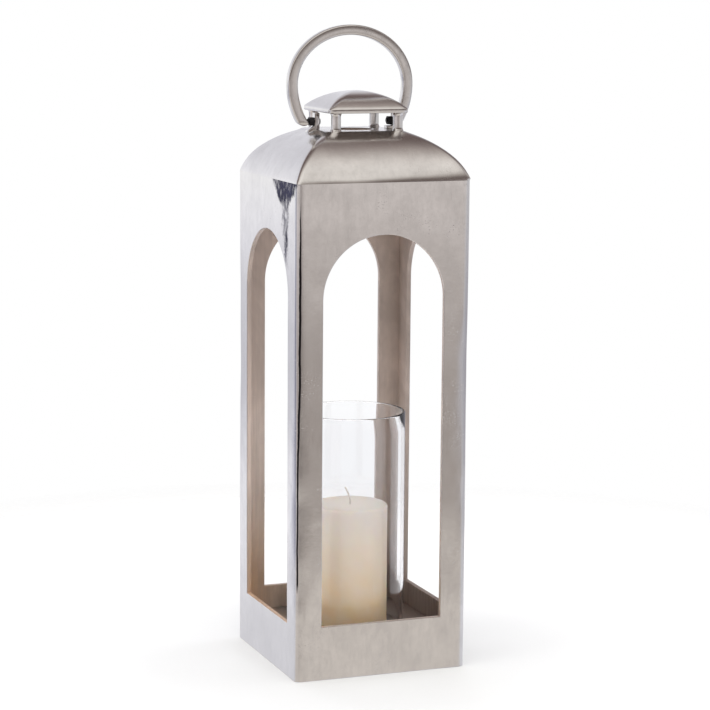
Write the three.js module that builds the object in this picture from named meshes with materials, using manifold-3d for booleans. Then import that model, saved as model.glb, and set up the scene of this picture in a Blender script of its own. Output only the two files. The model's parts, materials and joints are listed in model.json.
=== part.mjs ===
// Candle lantern: a tall square tower of four cast aluminium panels with arched windows,
// a domed roof with a raised vent cap, a swinging ring handle, and a glass hurricane with
// a pillar candle standing on the floor inside.
//
// Millimetres, +Z up. The origin is the middle of the base, on the surface the lantern stands on.
// The wide front window faces -Y and the handle's pivots lie on the X axis.

import * as THREE from 'three';
import { mergeVertices } from 'three/addons/utils/BufferGeometryUtils.js';
import Module from 'manifold-3d';

const wasm = await Module();
wasm.setup();

// ---- Driving dimensions ----------------------------------------------------------------

const SEAM = 0.3;                    // gap left at every joint face
const PIVOT_PLAY = 0.3;              // radial clearance of the pivot studs and of every screw

const PLAN = 180;                    // outside width of the square tower
const WALL_HEIGHT = 489;             // ground to the crease under the roof
const WALL = 5;                      // thickness of the cast panels
const CORNER_RADIUS = 5;             // outer edge of the tower's corners and of the roof's hips

const WINDOW_WIDTH = 126;
const WINDOW_SILL = 53.5;            // ground to the window sill
const WINDOW_HEADROOM = 50.5;        // crease down to the crown of the arch

const FLOOR_TOP = 30;                // ground to the shelf the candle stands on
const FLOOR_THICKNESS = 3;
const FLOOR_PLAY = 0.5;              // gap between the floor's edge and the panels
const CLEAT_SIZE = 18;
const CLEAT_HEIGHT = 10;
const SCREW_DIAMETER = 3.2;
const SCREW_HEAD_DIAMETER = 6;
const SCREW_HEAD_HEIGHT = 2.6;
const SCREW_TIP_COVER = 0.5;         // how far a floor screw stops below the floor's top

const ROOF_RISE = 46;                // crease to the flat on top of the roof
const ROOF_CENTRE_DROP = 11;         // the roof's elliptical curve is centred this far below the crease
const ROOF_CROWN_CUT = 6;            // height of the curve's crown that the flat cuts away
const ROOF_THICKNESS = 5;
const VENT_RADIUS = 20;              // smoke hole under the cap

const CROWN_OFFSET_X = 2.5;          // the cap, its posts and the lugs stand a little off centre
const SCREW_HEAD_ROOM = 0.3;         // post screw's head to the edge of the flat ceiling
const POST_HEIGHT = 17.5;            // flat of the roof to the underside of the cap
const POST_RADIUS = 4.8;
const POST_FLARE = 0.8;              // how much wider a post is at its ends
const POST_FLARE_HEIGHT = 3;
const POST_SCREW_BITE = 10;          // depth of the screw in the post

const CAP_OVERHANG = 3;              // edge of the cap out past its posts
const CAP_RIM = 4.5;                 // height of the cap's upright rim
const CAP_DOME = 16.5;               // rise of the cap's dome above its rim
const CAP_THICKNESS = 6;
const CAP_RECESS_MARGIN = 2.4;       // the posts in to the hollow of the underside
const CAP_CROWN_FLAT = 3;            // half width of the flat left at the dome's crown

const LUG_PAST_CAP = 0.5;            // edge of the cap out to the middle of each lug's upright
const LUG_THICKNESS = 5;
const LUG_WIDTH = 8;
const LUG_TOP_GAP = 1;               // top of the lug to the underside of the cap
const LUG_FOOT = 7;                  // how far the foot runs out from the upright
const LUG_FOOT_THICKNESS = 3;
const STUD_DIAMETER = 4.8;
const STUD_BITE = 3;                 // how far a stud reaches into the handle's end
const STUD_PROUD = 1;                // thread left beyond the right nut
const COLLAR_DIAMETER = 7;
const COLLAR_THICKNESS = 0.9;
const NUT_ACROSS_FLATS = 8;
const NUT_THICKNESS = 5;
const NUT_CLEARANCE = 1;             // lug's foot up to the nut

const HANDLE_OFFSET_X = -3.6;        // the ring hangs to the left of the tower's middle
const HANDLE_END_REACH = 9.1;        // middle of a lug out to the middle of the ring's end
const HANDLE_BULGE = 10;             // how much further out the ring is at its widest
const HANDLE_CROWN = 58.4;           // half axis of the ring's outline above its widest place
const HANDLE_FOOT = 71;              // half axis of the ring's outline below its widest place
const HANDLE_BAR = 10;               // radial thickness of the ring's bar
const HANDLE_DEPTH = 9;              // thickness of the bar front to back
const HANDLE_BEVEL = 1.2;

const CANDLE_ROOM = 14.5;            // gap between the candle and the glass
const GLASS_HEIGHT = 221;
const GLASS_WALL = 2.5;

const CANDLE_DIAMETER = 76;
const CANDLE_HEIGHT = 125;
const CANDLE_EDGE = 2.5;             // rounding of the candle's top edge
const WICK_DIAMETER = 2.2;
const WICK_PLAY = 0.3;
const WICK_RISE = 17;                // height of the bare wick above the candle
const WICK_LEAN = 5.5;               // sideways lean of its tip, towards -X

// ---- Values worked out from them -------------------------------------------------------

const HALF = PLAN / 2;
const WINDOW_SPRING = WALL_HEIGHT - WINDOW_HEADROOM - WINDOW_WIDTH / 2;
const ROOF_TOP = WALL_HEIGHT + ROOF_RISE;
const ROOF_CENTRE = WALL_HEIGHT - ROOF_CENTRE_DROP;
const ROOF_CURVE_HEIGHT = ROOF_CENTRE_DROP + ROOF_RISE + ROOF_CROWN_CUT;
const ROOF_CURVE_WIDTH = HALF / Math.sqrt(1 - (ROOF_CENTRE_DROP / ROOF_CURVE_HEIGHT) ** 2);
const CEILING_HALF = roofHalf(ROOF_TOP - ROOF_THICKNESS, -ROOF_THICKNESS);
const POST_REACH = CEILING_HALF - Math.abs(CROWN_OFFSET_X) - SCREW_HEAD_DIAMETER / 2 - SCREW_HEAD_ROOM;
const CAP_BOTTOM = ROOF_TOP + POST_HEIGHT;
const CAP_HALF = POST_REACH + POST_RADIUS + POST_FLARE + CAP_OVERHANG;
const CAP_RECESS_HALF = POST_REACH - POST_RADIUS - POST_FLARE - CAP_RECESS_MARGIN;
const LUG_REACH = CAP_HALF + LUG_PAST_CAP;
const LUG_TOP = CAP_BOTTOM - LUG_TOP_GAP;
const PIVOT_Z = ROOF_TOP + LUG_FOOT_THICKNESS + NUT_CLEARANCE + NUT_ACROSS_FLATS / 2;
const STUD_BORE = STUD_DIAMETER / 2 + PIVOT_PLAY;
const SCREW_BORE = SCREW_DIAMETER / 2 + PIVOT_PLAY;
const LUG_X = { left: CROWN_OFFSET_X - LUG_REACH, right: CROWN_OFFSET_X + LUG_REACH };
const NUT_OFFSET = LUG_THICKNESS / 2 + SEAM + NUT_THICKNESS / 2;
const COLLAR_OFFSET = LUG_THICKNESS / 2 + SEAM + COLLAR_THICKNESS / 2;
const HANDLE_SPAN = LUG_REACH + HANDLE_END_REACH;
const HANDLE_RADIUS = HANDLE_SPAN + HANDLE_BULGE + HANDLE_BAR / 2;
const HANDLE_CENTRE_HEIGHT = (HANDLE_FOOT - HANDLE_BAR / 2)
  * Math.sqrt(1 - (HANDLE_SPAN / (HANDLE_SPAN + HANDLE_BULGE)) ** 2);
const GLASS_DIAMETER = CANDLE_DIAMETER + 2 * (CANDLE_ROOM + GLASS_WALL);
const HANDLE_FACE = {
  left: LUG_X.left - NUT_OFFSET - NUT_THICKNESS / 2 - SEAM,
  right: LUG_X.right + COLLAR_OFFSET + COLLAR_THICKNESS / 2 + SEAM,
};
const OVERSHOOT = 1;                 // how far a cutting tool runs past the face it cuts
const ROUND = 16;                    // facets of small round pieces
const CORNER_STEPS = 5;              // facets of a rounded corner

// ---- Materials -------------------------------------------------------------------------

const material = (color, roughness, metalness) =>
  new THREE.MeshStandardMaterial({ color, roughness, metalness });

const polishedAluminium = material(0xcfccc8, 0.2, 1);
const rawCasting = material(0x9a8f80, 0.6, 1);
const darkSteel = material(0x1c1a1a, 0.45, 1);
const zincSteel = material(0x8d9093, 0.4, 1);
const clearGlass = new THREE.MeshStandardMaterial({
  color: 0xe6eef2, roughness: 0.03, metalness: 0, transparent: true, opacity: 0.35,
});
const ivoryWax = material(0xf0e4c6, 0.5, 0);
const cottonWick = material(0xcdbfa0, 0.9, 0);

// ---- Solid helpers ---------------------------------------------------------------------

function toSolid(geometry) {
  const bare = geometry.clone();
  bare.deleteAttribute('normal');
  bare.deleteAttribute('uv');
  const merged = mergeVertices(bare, 1e-4);
  return new wasm.Manifold(new wasm.Mesh({
    numProp: 3,
    vertProperties: new Float32Array(merged.attributes.position.array),
    triVerts: new Uint32Array(merged.index.array),
  }));
}

function toGeometry(solid) {
  const mesh = solid.getMesh();
  const geometry = new THREE.BufferGeometry();
  geometry.setAttribute('position', new THREE.BufferAttribute(mesh.vertProperties, 3));
  geometry.setIndex(new THREE.BufferAttribute(mesh.triVerts, 1));
  geometry.computeVertexNormals();
  return geometry;
}

const box = (x0, x1, y0, y1, z0, z1) =>
  toSolid(new THREE.BoxGeometry(x1 - x0, y1 - y0, z1 - z0)
    .translate((x0 + x1) / 2, (y0 + y1) / 2, (z0 + z1) / 2));

const prism = (shape, z0, z1, steps = CORNER_STEPS) =>
  new THREE.ExtrudeGeometry(shape, { depth: z1 - z0, bevelEnabled: false, curveSegments: steps })
    .translate(0, 0, z0);

const rodZ = (radius, x, y, z0, z1, facets = ROUND) =>
  toSolid(new THREE.CylinderGeometry(radius, radius, z1 - z0, facets)
    .rotateX(Math.PI / 2).translate(x, y, (z0 + z1) / 2));

const rodX = (radius, x0, x1, z, facets = ROUND) =>
  toSolid(new THREE.CylinderGeometry(radius, radius, x1 - x0, facets)
    .rotateZ(Math.PI / 2).translate((x0 + x1) / 2, 0, z));

// A profile of (radius, height) points turned about +Z.
const turned = (points, facets = ROUND) =>
  new THREE.LatheGeometry(points.map(([r, z]) => new THREE.Vector2(r, z)), facets).rotateX(Math.PI / 2);

function roundedSquare(half, radius) {
  const r = Math.min(radius, half * 0.9);
  const c = half - r;
  const quarter = Math.PI / 2;
  const shape = new THREE.Shape();
  shape.moveTo(half, -c);
  [[c, c], [-c, c], [-c, -c], [c, -c]].forEach(([x, y], i) => {
    shape.absarc(x, y, r, i * quarter, (i + 1) * quarter, false);
  });
  return shape;
}

// A solid of square section: stations are [half width, height] pairs from the bottom up.
function squareLoft(stations, radius) {
  const rings = stations.map(([half]) => roundedSquare(half, radius).extractPoints(CORNER_STEPS).shape);
  const count = rings[0].length;
  const positions = rings.flatMap((ring, k) => ring.flatMap((p) => [p.x, p.y, stations[k][1]]));
  const index = [];
  for (let k = 0; k + 1 < rings.length; k += 1) {
    for (let i = 0; i < count; i += 1) {
      const a = k * count + i;
      const b = k * count + (i + 1) % count;
      index.push(a, b, b + count, a, b + count, a + count);
    }
  }
  const last = (rings.length - 1) * count;
  THREE.ShapeUtils.triangulateShape(rings[0], []).forEach(([a, b, c]) => index.push(a, c, b));
  THREE.ShapeUtils.triangulateShape(rings[rings.length - 1], [])
    .forEach(([a, b, c]) => index.push(last + a, last + b, last + c));
  const geometry = new THREE.BufferGeometry();
  geometry.setAttribute('position', new THREE.Float32BufferAttribute(positions, 3));
  geometry.setIndex(index);
  return toSolid(geometry);
}

const lantern = new THREE.Group();

function addPiece(name, shape, finish, parent = lantern) {
  const geometry = shape.isBufferGeometry ? shape : toGeometry(shape);
  const mesh = new THREE.Mesh(geometry, finish);
  mesh.name = name;
  parent.add(mesh);
  return mesh;
}

// ---- Tower -----------------------------------------------------------------------------

function windowCutter() {
  const r = WINDOW_WIDTH / 2;
  const arch = new THREE.Shape();
  arch.moveTo(-r, WINDOW_SILL);
  arch.lineTo(r, WINDOW_SILL);
  arch.lineTo(r, WINDOW_SPRING);
  arch.absarc(0, WINDOW_SPRING, r, 0, Math.PI, false);
  arch.closePath();
  const deep = HALF + OVERSHOOT;
  return toSolid(prism(arch, 0, deep, 32).rotateX(Math.PI / 2));
}

// The quarter of the plan that belongs to the front panel, cut back for the mitred seams.
function mitreWedge() {
  const far = HALF + OVERSHOOT;
  const inset = SEAM / Math.SQRT2;
  const wedge = new THREE.Shape();
  wedge.moveTo(0, -inset);
  wedge.lineTo(-far + inset, -far);
  wedge.lineTo(far - inset, -far);
  wedge.closePath();
  return toSolid(prism(wedge, -OVERSHOOT, WALL_HEIGHT + OVERSHOOT));
}

function wallPanel() {
  const top = WALL_HEIGHT - SEAM;
  const tower = toSolid(prism(roundedSquare(HALF, CORNER_RADIUS), 0, top));
  const inner = HALF - WALL;
  const room = box(-inner, inner, -inner, inner, -OVERSHOOT, top + OVERSHOOT);
  return tower.subtract(room).intersect(mitreWedge()).subtract(windowCutter());
}

function addTower() {
  const panel = toGeometry(wallPanel());
  ['front_wall', 'right_wall', 'back_wall', 'left_wall'].forEach((name, i) => {
    addPiece(name, panel.clone(), polishedAluminium).rotation.z = i * Math.PI / 2;
  });
}

// ---- Floor -----------------------------------------------------------------------------

const CORNERS = {
  front_left: [-1, -1],
  front_right: [1, -1],
  back_right: [1, 1],
  back_left: [-1, 1],
};
const CLEAT_OUTER = HALF - WALL - SEAM;
const CLEAT_MIDDLE = CLEAT_OUTER - CLEAT_SIZE / 2;
const CLEAT_TOP = FLOOR_TOP - FLOOR_THICKNESS - SEAM;

// A pan-head screw pointing up, its head's upper face at the given height.
function screw(x, y, seat, tip) {
  const shank = SCREW_DIAMETER / 2;
  const head = SCREW_HEAD_DIAMETER / 2;
  return turned([
    [0, seat - SCREW_HEAD_HEIGHT],
    [head * 0.7, seat - SCREW_HEAD_HEIGHT],
    [head, seat - SCREW_HEAD_HEIGHT / 2],
    [head, seat],
    [shank, seat],
    [shank, tip - shank],
    [0, tip],
  ]).translate(x, y, 0);
}

function floorPlate() {
  const edge = HALF - WALL - FLOOR_PLAY;
  const bottom = FLOOR_TOP - FLOOR_THICKNESS;
  let plate = box(-edge, edge, -edge, edge, bottom, FLOOR_TOP);
  for (const [sx, sy] of Object.values(CORNERS)) {
    const hole = rodZ(SCREW_BORE, sx * CLEAT_MIDDLE, sy * CLEAT_MIDDLE, bottom - OVERSHOOT, FLOOR_TOP + OVERSHOOT);
    plate = plate.subtract(hole);
  }
  return plate;
}

function floorCleat(sx, sy) {
  const [x0, x1] = [sx * CLEAT_OUTER, sx * (CLEAT_OUTER - CLEAT_SIZE)].sort((a, b) => a - b);
  const [y0, y1] = [sy * CLEAT_OUTER, sy * (CLEAT_OUTER - CLEAT_SIZE)].sort((a, b) => a - b);
  const bottom = CLEAT_TOP - CLEAT_HEIGHT;
  const hole = rodZ(SCREW_BORE, sx * CLEAT_MIDDLE, sy * CLEAT_MIDDLE, bottom - OVERSHOOT, CLEAT_TOP + OVERSHOOT);
  return box(x0, x1, y0, y1, bottom, CLEAT_TOP).subtract(hole);
}

function addFloor() {
  addPiece('floor_plate', floorPlate(), rawCasting);
  const seat = CLEAT_TOP - CLEAT_HEIGHT - SEAM;
  for (const [corner, [sx, sy]] of Object.entries(CORNERS)) {
    addPiece(`floor_cleat_${corner}`, floorCleat(sx, sy), rawCasting);
    const fixing = screw(sx * CLEAT_MIDDLE, sy * CLEAT_MIDDLE, seat, FLOOR_TOP - SCREW_TIP_COVER);
    addPiece(`floor_screw_${corner}`, fixing, zincSteel);
  }
}

// ---- Roof ------------------------------------------------------------------------------

// Half width of the roof's curve at a height, for a skin moved in or out by some distance.
function roofHalf(z, skin = 0) {
  const rise = (z - ROOF_CENTRE) / (ROOF_CURVE_HEIGHT + skin);
  return (ROOF_CURVE_WIDTH + skin) * Math.sqrt(1 - rise ** 2);
}

// Height of the roof's outer surface at a distance from the middle.
function roofHeight(distance) {
  const z = ROOF_CENTRE + ROOF_CURVE_HEIGHT * Math.sqrt(1 - (distance / ROOF_CURVE_WIDTH) ** 2);
  return Math.min(z, ROOF_TOP);
}

function roofSkin(skin, bottom) {
  const steps = 12;
  const top = ROOF_TOP + skin;
  const angleAt = (z) => Math.asin((z - ROOF_CENTRE) / (ROOF_CURVE_HEIGHT + skin));
  const start = angleAt(WALL_HEIGHT);
  const end = angleAt(top);
  const stations = [];
  if (bottom < WALL_HEIGHT) {
    stations.push([roofHalf(WALL_HEIGHT, skin), bottom]);
  }
  for (let k = 0; k <= steps; k += 1) {
    const angle = start + (end - start) * k / steps;
    const z = ROOF_CENTRE + (ROOF_CURVE_HEIGHT + skin) * Math.sin(angle);
    stations.push([roofHalf(z, skin), z]);
  }
  return squareLoft(stations, CORNER_RADIUS);
}

const POST_PLACES = Object.entries(CORNERS).map(([corner, [sx, sy]]) =>
  [corner, CROWN_OFFSET_X + sx * POST_REACH, sy * POST_REACH]);

function roofDome() {
  const hollow = roofSkin(-ROOF_THICKNESS, WALL_HEIGHT - OVERSHOOT);
  const ceiling = ROOF_TOP - ROOF_THICKNESS - OVERSHOOT;
  let roof = roofSkin(0, WALL_HEIGHT).subtract(hollow);
  roof = roof.subtract(rodZ(VENT_RADIUS, 0, 0, ceiling, ROOF_TOP + OVERSHOOT, 40));
  for (const [, x, y] of POST_PLACES) {
    roof = roof.subtract(rodZ(SCREW_BORE, x, y, ceiling, ROOF_TOP + OVERSHOOT));
  }
  return roof;
}

// What stands on the roof is cut to the roof's own curve.
const seatOnRoof = (solid) => solid.subtract(roofSkin(SEAM, WALL_HEIGHT));

// ---- Vent cap --------------------------------------------------------------------------

function capPost(x, y) {
  const bottom = ROOF_TOP - POST_RADIUS;
  const top = CAP_BOTTOM - SEAM;
  const flare = POST_RADIUS + POST_FLARE;
  const profile = [
    [0, bottom],
    [flare, bottom],
    [flare, ROOF_TOP],
    [POST_RADIUS, ROOF_TOP + POST_FLARE_HEIGHT],
    [POST_RADIUS, top - POST_FLARE_HEIGHT],
    [flare, top],
    [0, top],
  ];
  const bore = rodZ(SCREW_BORE, x, y, bottom - OVERSHOOT, ROOF_TOP + POST_SCREW_BITE + SEAM);
  return seatOnRoof(toSolid(turned(profile).translate(x, y, 0))).subtract(bore);
}

// Height of the cap's round dome above its underside, at some distance from the middle.
function domeHeight(distance) {
  const radius = (CAP_HALF ** 2 + CAP_DOME ** 2) / (2 * CAP_DOME);
  return CAP_RIM + CAP_DOME - radius + Math.sqrt(radius ** 2 - distance ** 2);
}

function domeStations(from, to, drop, steps) {
  return Array.from({ length: steps + 1 }, (_, k) => {
    const half = from + (to - from) * k / steps;
    return [half, CAP_BOTTOM + domeHeight(half) - drop];
  });
}

function ventCap() {
  const dome = domeStations(CAP_HALF, CAP_CROWN_FLAT, 0, 10);
  const shell = squareLoft([[CAP_HALF, CAP_BOTTOM], ...dome], CORNER_RADIUS);
  const vault = domeStations(CAP_RECESS_HALF, CAP_CROWN_FLAT, CAP_THICKNESS, 6);
  const recess = squareLoft([[CAP_RECESS_HALF, CAP_BOTTOM - OVERSHOOT], ...vault], CORNER_RADIUS);
  return shell.subtract(recess).translate([CROWN_OFFSET_X, 0, 0]);
}

function addRoof() {
  addPiece('roof_dome', roofDome(), polishedAluminium);
  const screwSeat = ROOF_TOP - ROOF_THICKNESS - SEAM;
  for (const [corner, x, y] of POST_PLACES) {
    addPiece(`cap_post_${corner}`, capPost(x, y), polishedAluminium);
    addPiece(`post_screw_${corner}`, screw(x, y, screwSeat, ROOF_TOP + POST_SCREW_BITE), zincSteel);
  }
  addPiece('vent_cap', ventCap(), polishedAluminium);
}

// ---- Handle ----------------------------------------------------------------------------

// An L bracket whose upright stands at x and whose foot runs out towards -X.
function handleLug(x) {
  const left = x - LUG_THICKNESS / 2;
  const right = x + LUG_THICKNESS / 2;
  const toe = left - LUG_FOOT;
  const sunk = WALL_HEIGHT + ROOF_RISE / 2;
  const bracket = new THREE.Shape([
    new THREE.Vector2(toe, sunk),
    new THREE.Vector2(right, sunk),
    new THREE.Vector2(right, LUG_TOP),
    new THREE.Vector2(left, LUG_TOP),
    new THREE.Vector2(left, ROOF_TOP + LUG_FOOT_THICKNESS),
    new THREE.Vector2(toe, roofHeight(toe) + LUG_FOOT_THICKNESS),
  ]);
  const plate = toSolid(prism(bracket, -LUG_WIDTH / 2, LUG_WIDTH / 2).rotateX(Math.PI / 2));
  const bore = rodX(STUD_BORE, left - OVERSHOOT, right + OVERSHOOT, PIVOT_Z);
  return seatOnRoof(plate).subtract(bore);
}

function pivotStud(side) {
  const lug = LUG_X[side];
  const face = HANDLE_FACE[side];
  const deep = side === 'left' ? face - STUD_BITE : face + STUD_BITE;
  const free = side === 'left' ? lug + COLLAR_OFFSET : lug - NUT_OFFSET - NUT_THICKNESS / 2 - STUD_PROUD;
  const collar = lug + COLLAR_OFFSET;
  const rod = rodX(STUD_DIAMETER / 2, Math.min(deep, free), Math.max(deep, free), PIVOT_Z);
  const ring = rodX(COLLAR_DIAMETER / 2, collar - COLLAR_THICKNESS / 2, collar + COLLAR_THICKNESS / 2, PIVOT_Z);
  return rod.add(ring);
}

function pivotNut(side) {
  const middle = LUG_X[side] - NUT_OFFSET;
  const radius = NUT_ACROSS_FLATS / Math.sqrt(3);
  const ends = [middle - NUT_THICKNESS / 2, middle + NUT_THICKNESS / 2];
  const hex = rodX(radius, ...ends, 0, 6).rotate([30, 0, 0]).translate([0, 0, PIVOT_Z]);
  return hex.subtract(rodX(STUD_BORE, ends[0] - OVERSHOOT, ends[1] + OVERSHOOT, PIVOT_Z));
}

// The open ring: an oval a little flattened above its widest place, centred on that place.
function ringOutline() {
  const steps = 56;
  const droop = Math.asin((HANDLE_CENTRE_HEIGHT + HANDLE_DEPTH / 2) / (HANDLE_FOOT - HANDLE_BAR / 2));
  const edge = (inset) => Array.from({ length: steps + 1 }, (_, k) => {
    const angle = -droop + (Math.PI + 2 * droop) * k / steps;
    const height = Math.sin(angle) > 0 ? HANDLE_CROWN : HANDLE_FOOT;
    return new THREE.Vector2((HANDLE_RADIUS - inset) * Math.cos(angle), (height - inset) * Math.sin(angle));
  });
  return new THREE.Shape([...edge(0), ...edge(HANDLE_BAR).reverse()]);
}

function handleRing() {
  const depth = HANDLE_DEPTH - 2 * HANDLE_BEVEL;
  const ring = new THREE.ExtrudeGeometry(ringOutline(), {
    depth,
    bevelEnabled: true,
    bevelThickness: HANDLE_BEVEL,
    bevelSize: HANDLE_BEVEL,
    bevelOffset: -HANDLE_BEVEL,
    bevelSegments: 2,
  }).rotateX(Math.PI / 2).translate(HANDLE_OFFSET_X, depth / 2, PIVOT_Z + HANDLE_CENTRE_HEIGHT);
  const reach = HANDLE_RADIUS + Math.abs(HANDLE_OFFSET_X) + OVERSHOOT;
  const half = HANDLE_DEPTH / 2;
  const upper = box(-reach, reach, -half, half, PIVOT_Z, PIVOT_Z + 2 * reach);
  const envelope = upper.add(rodX(half, -reach, reach, PIVOT_Z, 32));
  const faces = box(HANDLE_FACE.left, HANDLE_FACE.right, -HANDLE_DEPTH, HANDLE_DEPTH,
    PIVOT_Z - HANDLE_DEPTH, PIVOT_Z + HANDLE_CENTRE_HEIGHT / 2);
  const deep = STUD_BITE + SEAM;
  const bores = rodX(STUD_BORE, HANDLE_FACE.left - deep, HANDLE_FACE.right + deep, PIVOT_Z);
  return toSolid(ring).intersect(envelope).subtract(faces).subtract(bores);
}

function addHandle() {
  for (const side of ['left', 'right']) {
    addPiece(`handle_lug_${side}`, handleLug(LUG_X[side]), polishedAluminium);
    addPiece(`pivot_stud_${side}`, pivotStud(side), darkSteel);
    addPiece(`pivot_nut_${side}`, pivotNut(side), darkSteel);
  }
  addPiece('handle_ring', handleRing(), polishedAluminium);
}

// ---- Glass and candle ------------------------------------------------------------------

const STANDING = FLOOR_TOP + SEAM;   // where the loose pieces rest

function glassHurricane() {
  const outer = GLASS_DIAMETER / 2;
  const inner = outer - GLASS_WALL;
  const lip = GLASS_WALL / 4;
  const top = STANDING + GLASS_HEIGHT;
  return turned([
    [inner + lip, STANDING],
    [outer - lip, STANDING],
    [outer, STANDING + lip],
    [outer, top - lip],
    [outer - lip, top],
    [inner + lip, top],
    [inner, top - lip],
    [inner, STANDING + lip],
    [inner + lip, STANDING],
  ], 72);
}

function pillarCandle() {
  const radius = CANDLE_DIAMETER / 2;
  const bore = WICK_DIAMETER / 2 + WICK_PLAY;
  const top = STANDING + CANDLE_HEIGHT;
  const rounded = [0, 30, 60, 90].map((degrees) => {
    const angle = THREE.MathUtils.degToRad(degrees);
    return [radius - CANDLE_EDGE * (1 - Math.cos(angle)), top - CANDLE_EDGE * (1 - Math.sin(angle))];
  });
  return turned([[bore, STANDING], [radius, STANDING], ...rounded, [bore, top], [bore, STANDING]], 64);
}

function wick() {
  const top = STANDING + CANDLE_HEIGHT;
  const bottom = STANDING + SEAM;
  const path = new THREE.CurvePath();
  path.add(new THREE.LineCurve3(new THREE.Vector3(0, 0, bottom), new THREE.Vector3(0, 0, top)));
  path.add(new THREE.QuadraticBezierCurve3(
    new THREE.Vector3(0, 0, top),
    new THREE.Vector3(0, 0, top + WICK_RISE / 2),
    new THREE.Vector3(-WICK_LEAN, 0, top + WICK_RISE),
  ));
  const section = new THREE.Shape().absarc(0, 0, WICK_DIAMETER / 2, 0, 2 * Math.PI, false);
  return new THREE.ExtrudeGeometry(section, { steps: 24, curveSegments: 4, extrudePath: path });
}

function addGlassAndCandle() {
  addPiece('glass_hurricane', glassHurricane(), clearGlass);
  addPiece('candle', pillarCandle(), ivoryWax);
  addPiece('wick', wick(), cottonWick);
}

addTower();
addFloor();
addRoof();
addHandle();
addGlassAndCandle();

export default lantern;
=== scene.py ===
"""A square cast-aluminium candle lantern: arched windows, domed roof, ring handle, glass and candle."""

import json
from math import asin, atan2, cos, exp, hypot, pi, radians, sin, sqrt, tau

import bmesh
import bpy
from mathutils import Matrix, Vector, noise


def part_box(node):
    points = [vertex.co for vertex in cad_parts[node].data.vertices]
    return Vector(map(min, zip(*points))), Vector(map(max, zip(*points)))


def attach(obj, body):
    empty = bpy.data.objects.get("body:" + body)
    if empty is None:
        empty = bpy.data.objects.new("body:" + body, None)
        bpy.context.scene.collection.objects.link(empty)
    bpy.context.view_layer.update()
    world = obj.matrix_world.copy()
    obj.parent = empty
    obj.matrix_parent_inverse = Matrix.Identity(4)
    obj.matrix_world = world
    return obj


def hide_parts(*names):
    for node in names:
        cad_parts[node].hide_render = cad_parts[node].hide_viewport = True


bl_info = {
    "name": "Candle Lantern",
    "version": (1, 0, 0),
    "blender": (4, 5, 0),
    "location": "3D View > Sidebar > Lantern",
    "description": "Builds a cast candle lantern with its handle, glass and candle",
    "category": "Object",
}

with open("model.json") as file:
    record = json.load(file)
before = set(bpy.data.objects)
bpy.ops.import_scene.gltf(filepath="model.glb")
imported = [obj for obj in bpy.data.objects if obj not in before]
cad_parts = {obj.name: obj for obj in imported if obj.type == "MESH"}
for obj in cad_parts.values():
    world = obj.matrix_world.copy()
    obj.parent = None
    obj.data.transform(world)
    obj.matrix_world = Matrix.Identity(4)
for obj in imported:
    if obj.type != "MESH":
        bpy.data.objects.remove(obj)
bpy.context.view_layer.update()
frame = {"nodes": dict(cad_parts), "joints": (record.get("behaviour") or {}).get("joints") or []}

MM = 0.001
WELD = 1e-6                       # points closer than this are one point

# What the frame says, in metres.
PANEL_LOW, PANEL_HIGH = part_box("front_wall")
ROOF_LOW, ROOF_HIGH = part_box("roof_dome")
CAP_LOW, CAP_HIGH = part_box("vent_cap")
RING_LOW, RING_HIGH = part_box("handle_ring")
FLOOR_LOW, FLOOR_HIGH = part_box("floor_plate")
GLASS_LOW, GLASS_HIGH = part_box("glass_hurricane")
CANDLE_LOW, CANDLE_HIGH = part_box("candle")
WICK_LOW, WICK_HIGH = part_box("wick")
HALF = ROOF_HIGH.x                # half of the tower's plan
WALL = PANEL_HIGH.y - PANEL_LOW.y
INSIDE = HALF - WALL
CREASE = ROOF_LOW.z
ROOF_TOP = ROOF_HIGH.z
SEAM = ROOF_LOW.z - PANEL_HIGH.z
CROWN_X = (CAP_LOW.x + CAP_HIGH.x) / 2
CAP_HALF = CAP_HIGH.y
PIVOT_Z = next(joint for joint in frame["joints"] if joint["name"] == "handle_swing")["pos_m"][2]


def length(name, default, description):
    return bpy.props.FloatProperty(name=name, default=default, description=description,
                                   subtype="DISTANCE", unit="LENGTH", precision=5)


def colour(name, default, description):
    return bpy.props.FloatVectorProperty(name=name, default=default, description=description,
                                         subtype="COLOR", size=4, min=0.0, max=1.0)


def amount(name, default, description):
    return bpy.props.FloatProperty(name=name, default=default, description=description, precision=4)


class LanternSizes(bpy.types.PropertyGroup):
    """Sizes that the frame's boxes leave open."""
    window_width: length("Window width", 0.126, "Width of each arched window")
    window_sill: length("Window sill", 0.0535, "Ground to the window sill")
    window_crown: length("Window crown", 0.4385, "Ground to the crown of the arch")
    edge_round: length("Edge rounding", 0.00045, "Rounding of the windows' and the feet's edges")
    corner_slope: amount("Corner slope", 0.085, "How steeply the panels fall away beside a ground corner")
    corner_width: length("Easing width", 0.015, "How far from a corner the panels start to fall away")
    panel_wave: length("Panel wave", 0.00036, "Depth of the slow waves that polishing left in the panels")
    roof_drop: length("Roof curve drop", 0.011, "Crease down to the centre of the roof's curve")
    roof_cut: length("Roof crown cut", 0.006, "Height of the curve's crown above the flat top")
    hip_round: length("Hip rounding", 0.005, "Rounding of the roof's and the cap's hips")
    vent_radius: length("Smoke hole", 0.02, "Radius of the hole under the cap")
    cap_rim: length("Cap rim", 0.0045, "Height of the cap's upright rim")
    bar_thickness: length("Handle bar", 0.010, "Radial thickness of the ring's bar")
    bar_bevel: length("Handle bevel", 0.0017, "Rounding of the ring's bar")
    glass_wall: length("Glass wall", 0.0025, "Thickness of the glass")
    candle_round: length("Candle edge", 0.0028, "Rounding of the candle's top edge")


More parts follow.
